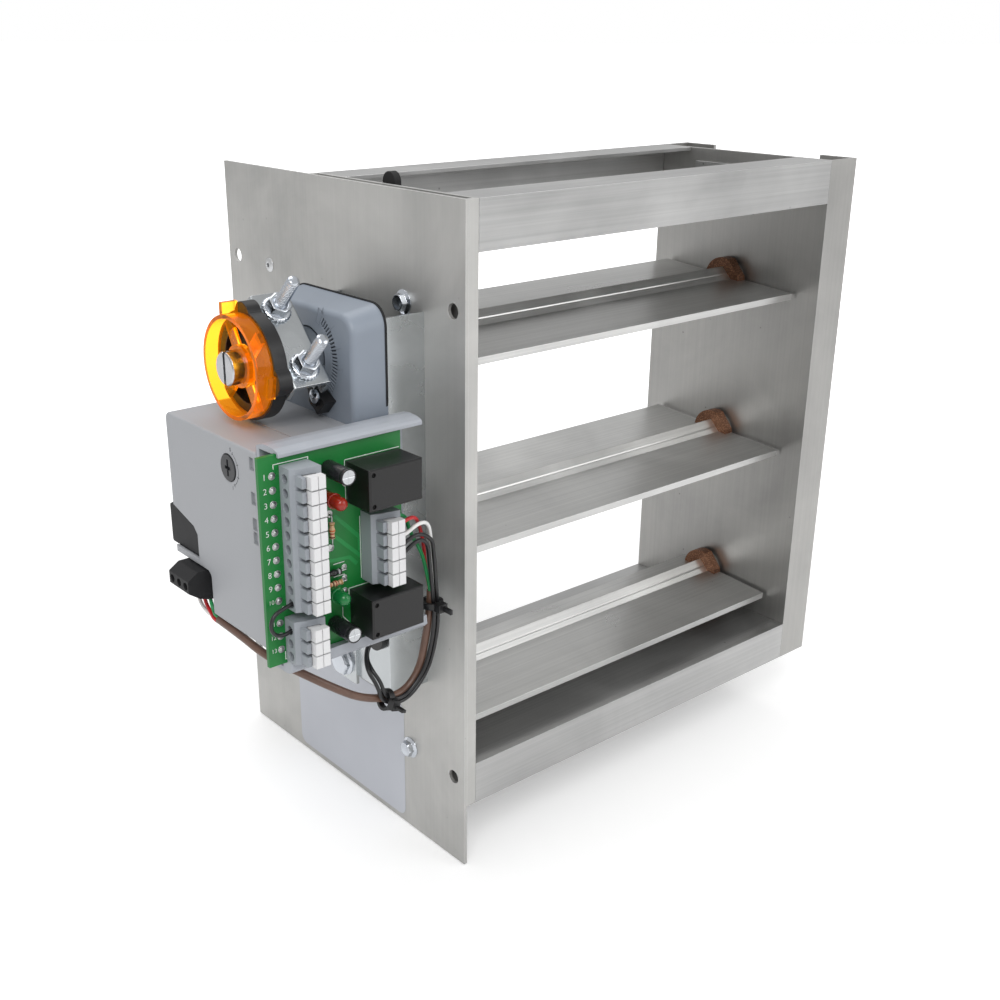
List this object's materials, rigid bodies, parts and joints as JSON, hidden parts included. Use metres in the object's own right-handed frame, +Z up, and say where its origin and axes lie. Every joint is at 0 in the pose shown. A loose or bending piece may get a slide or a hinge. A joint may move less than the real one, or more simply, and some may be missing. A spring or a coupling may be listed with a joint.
{
  "type": "modulating zone damper",
  "caption": "Slip-in duct damper: parallel blades in a channel frame with a mounting plate, shaft-clamp actuator and wired relay board.",
  "frame": {"origin": "centre of the mounting plate's four duct screw holes, on the plate face that seats on the duct wall", "axes": "+X along the blades into the duct, +Y through the frame with the air, +Z up; the actuator is on -X and the board faces -Y"},
  "size_m": [0.3194, 0.175, 0.2794],
  "materials": {
    "plate_metal": "mill",
    "frame_metal": "mill",
    "blade_metal": "mill",
    "rivet_metal": "satin",
    "zinc_steel": "zinc plated",
    "zinc_sheet": "zinc plated",
    "shaft_steel": "satin",
    "natural_plastic": "matte",
    "hub_bronze": "matte",
    "casing_plastic": "matte",
    "housing_plastic": "matte",
    "button_plastic": "matte",
    "black_plastic": "matte",
    "orange_plastic": "clear",
    "track_plastic": "matte",
    "board": "solder mask",
    "strip_plastic": "satin",
    "lever_plastic": "satin",
    "relay_plastic": "satin",
    "capacitor_can": "sleeved",
    "lamp_plastic": "clear",
    "brown_jacket": "matte",
    "black_jacket": "matte",
    "core_jacket": "matte"
  },
  "bodies": {
    "frame": {"mounting_plate": "plate_metal", "drive_side_frame": "frame_metal", "top_channel": "frame_metal", "bottom_channel": "frame_metal", "far_side_channel": "frame_metal", "frame_rivets": "rivet_metal", "hex_screws": "zinc_steel", "web_bushes": "natural_plastic", "standoff_bracket": "zinc_sheet", "rotation_strap": "zinc_sheet", "actuator_casing": "casing_plastic", "hub_housing": "housing_plastic", "end_stop": "black_plastic", "terminal_plug": "black_plastic", "snap_track": "track_plastic", "circuit_board": "board", "terminal_strips": "strip_plastic", "relays": "relay_plastic", "capacitors": "capacitor_can", "indicator_lamps": "lamp_plastic", "signal_cable": "brown_jacket", "sensor_lead": "black_jacket", "jumper_wire": "black_jacket", "lead_cores": "core_jacket", "cable_fixings": "black_plastic"},
    "top_blade": {"blade_top": "blade_metal", "end_hubs_top": "hub_bronze", "crank_top": "zinc_steel", "drive_shaft": "shaft_steel", "clamp_bracket": "zinc_sheet", "clamp_bolt": "zinc_steel", "index_ring": "black_plastic", "position_dial": "orange_plastic"},
    "middle_blade": {"blade_middle": "blade_metal", "end_hubs_middle": "hub_bronze", "crank_middle": "zinc_steel"},
    "bottom_blade": {"blade_bottom": "blade_metal", "end_hubs_bottom": "hub_bronze", "crank_bottom": "zinc_steel"},
    "linkage": {"tie_bar": "zinc_sheet"},
    "release_button": {"release_button": "button_plastic"},
    "direction_switch": {"direction_switch": "button_plastic"},
    "lever_ten_1": {"lever_ten_1": "lever_plastic"},
    "lever_ten_2": {"lever_ten_2": "lever_plastic"},
    "lever_ten_3": {"lever_ten_3": "lever_plastic"},
    "lever_ten_4": {"lever_ten_4": "lever_plastic"},
    "lever_ten_5": {"lever_ten_5": "lever_plastic"},
    "lever_ten_6": {"lever_ten_6": "lever_plastic"},
    "lever_ten_7": {"lever_ten_7": "lever_plastic"},
    "lever_ten_8": {"lever_ten_8": "lever_plastic"},
    "lever_ten_9": {"lever_ten_9": "lever_plastic"},
    "lever_ten_10": {"lever_ten_10": "lever_plastic"},
    "lever_three_1": {"lever_three_1": "lever_plastic"},
    "lever_three_2": {"lever_three_2": "lever_plastic"},
    "lever_three_3": {"lever_three_3": "lever_plastic"},
    "lever_five_1": {"lever_five_1": "lever_plastic"},
    "lever_five_2": {"lever_five_2": "lever_plastic"},
    "lever_five_3": {"lever_five_3": "lever_plastic"},
    "lever_five_4": {"lever_five_4": "lever_plastic"},
    "lever_five_5": {"lever_five_5": "lever_plastic"}
  },
  "joints": [
    {"name": "blade_top_turn", "type": "hinge", "parent": "frame", "child": "top_blade", "pos_m": [0, -0.0318, 0.08], "axis": [-1, 0, 0], "range_deg": [0, 84]},
    {"name": "blade_middle_turn", "type": "hinge", "parent": "frame", "child": "middle_blade", "pos_m": [0, -0.0318, 0.002], "axis": [-1, 0, 0], "range_deg": [0, 84]},
    {"name": "blade_bottom_turn", "type": "hinge", "parent": "frame", "child": "bottom_blade", "pos_m": [0, -0.0318, -0.076], "axis": [-1, 0, 0], "range_deg": [0, 84]},
    {"name": "tie_bar_turn", "type": "hinge", "parent": "top_blade", "child": "linkage", "pos_m": [0.2196, -0.01322, 0.09673], "axis": [-1, 0, 0], "range_deg": [-84, 0]},
    {"name": "release_button_slide", "type": "slide", "parent": "frame", "child": "release_button", "axis": [0, -1, 0], "range_m": [0, 0.0025], "stiffness_N_per_m": 800},
    {"name": "direction_switch_turn", "type": "hinge", "parent": "frame", "child": "direction_switch", "pos_m": [-0.0795, -0.044, 0.0473], "axis": [-1, 0, 0], "range_deg": [0, 90]},
    {"name": "lever_ten_1_push", "type": "slide", "parent": "frame", "child": "lever_ten_1", "axis": [0, 1, 0], "range_m": [0, 0.0015], "stiffness_N_per_m": 400},
    {"name": "lever_ten_2_push", "type": "slide", "parent": "frame", "child": "lever_ten_2", "axis": [0, 1, 0], "range_m": [0, 0.0015], "stiffness_N_per_m": 400},
    {"name": "lever_ten_3_push", "type": "slide", "parent": "frame", "child": "lever_ten_3", "axis": [0, 1, 0], "range_m": [0, 0.0015], "stiffness_N_per_m": 400},
    {"name": "lever_ten_4_push", "type": "slide", "parent": "frame", "child": "lever_ten_4", "axis": [0, 1, 0], "range_m": [0, 0.0015], "stiffness_N_per_m": 400},
    {"name": "lever_ten_5_push", "type": "slide", "parent": "frame", "child": "lever_ten_5", "axis": [0, 1, 0], "range_m": [0, 0.0015], "stiffness_N_per_m": 400},
    {"name": "lever_ten_6_push", "type": "slide", "parent": "frame", "child": "lever_ten_6", "axis": [0, 1, 0], "range_m": [0, 0.0015], "stiffness_N_per_m": 400},
    {"name": "lever_ten_7_push", "type": "slide", "parent": "frame", "child": "lever_ten_7", "axis": [0, 1, 0], "range_m": [0, 0.0015], "stiffness_N_per_m": 400},
    {"name": "lever_ten_8_push", "type": "slide", "parent": "frame", "child": "lever_ten_8", "axis": [0, 1, 0], "range_m": [0, 0.0015], "stiffness_N_per_m": 400},
    {"name": "lever_ten_9_push", "type": "slide", "parent": "frame", "child": "lever_ten_9", "axis": [0, 1, 0], "range_m": [0, 0.0015], "stiffness_N_per_m": 400},
    {"name": "lever_ten_10_push", "type": "slide", "parent": "frame", "child": "lever_ten_10", "axis": [0, 1, 0], "range_m": [0, 0.0015], "stiffness_N_per_m": 400},
    {"name": "lever_three_1_push", "type": "slide", "parent": "frame", "child": "lever_three_1", "axis": [0, 1, 0], "range_m": [0, 0.0015], "stiffness_N_per_m": 400},
    {"name": "lever_three_2_push", "type": "slide", "parent": "frame", "child": "lever_three_2", "axis": [0, 1, 0], "range_m": [0, 0.0015], "stiffness_N_per_m": 400},
    {"name": "lever_three_3_push", "type": "slide", "parent": "frame", "child": "lever_three_3", "axis": [0, 1, 0], "range_m": [0, 0.0015], "stiffness_N_per_m": 400},
    {"name": "lever_five_1_push", "type": "slide", "parent": "frame", "child": "lever_five_1", "axis": [0, 1, 0], "range_m": [0, 0.0015], "stiffness_N_per_m": 400},
    {"name": "lever_five_2_push", "type": "slide", "parent": "frame", "child": "lever_five_2", "axis": [0, 1, 0], "range_m": [0, 0.0015], "stiffness_N_per_m": 400},
    {"name": "lever_five_3_push", "type": "slide", "parent": "frame", "child": "lever_five_3", "axis": [0, 1, 0], "range_m": [0, 0.0015], "stiffness_N_per_m": 400},
    {"name": "lever_five_4_push", "type": "slide", "parent": "frame", "child": "lever_five_4", "axis": [0, 1, 0], "range_m": [0, 0.0015], "stiffness_N_per_m": 400},
    {"name": "lever_five_5_push", "type": "slide", "parent": "frame", "child": "lever_five_5", "axis": [0, 1, 0], "range_m": [0, 0.0015], "stiffness_N_per_m": 400}
  ],
  "couplings": [
    {"joint": "blade_middle_turn", "follows": "blade_top_turn", "ratio": 1},
    {"joint": "blade_bottom_turn", "follows": "blade_top_turn", "ratio": 1},
    {"joint": "tie_bar_turn", "follows": "blade_top_turn", "ratio": -1}
  ]
}
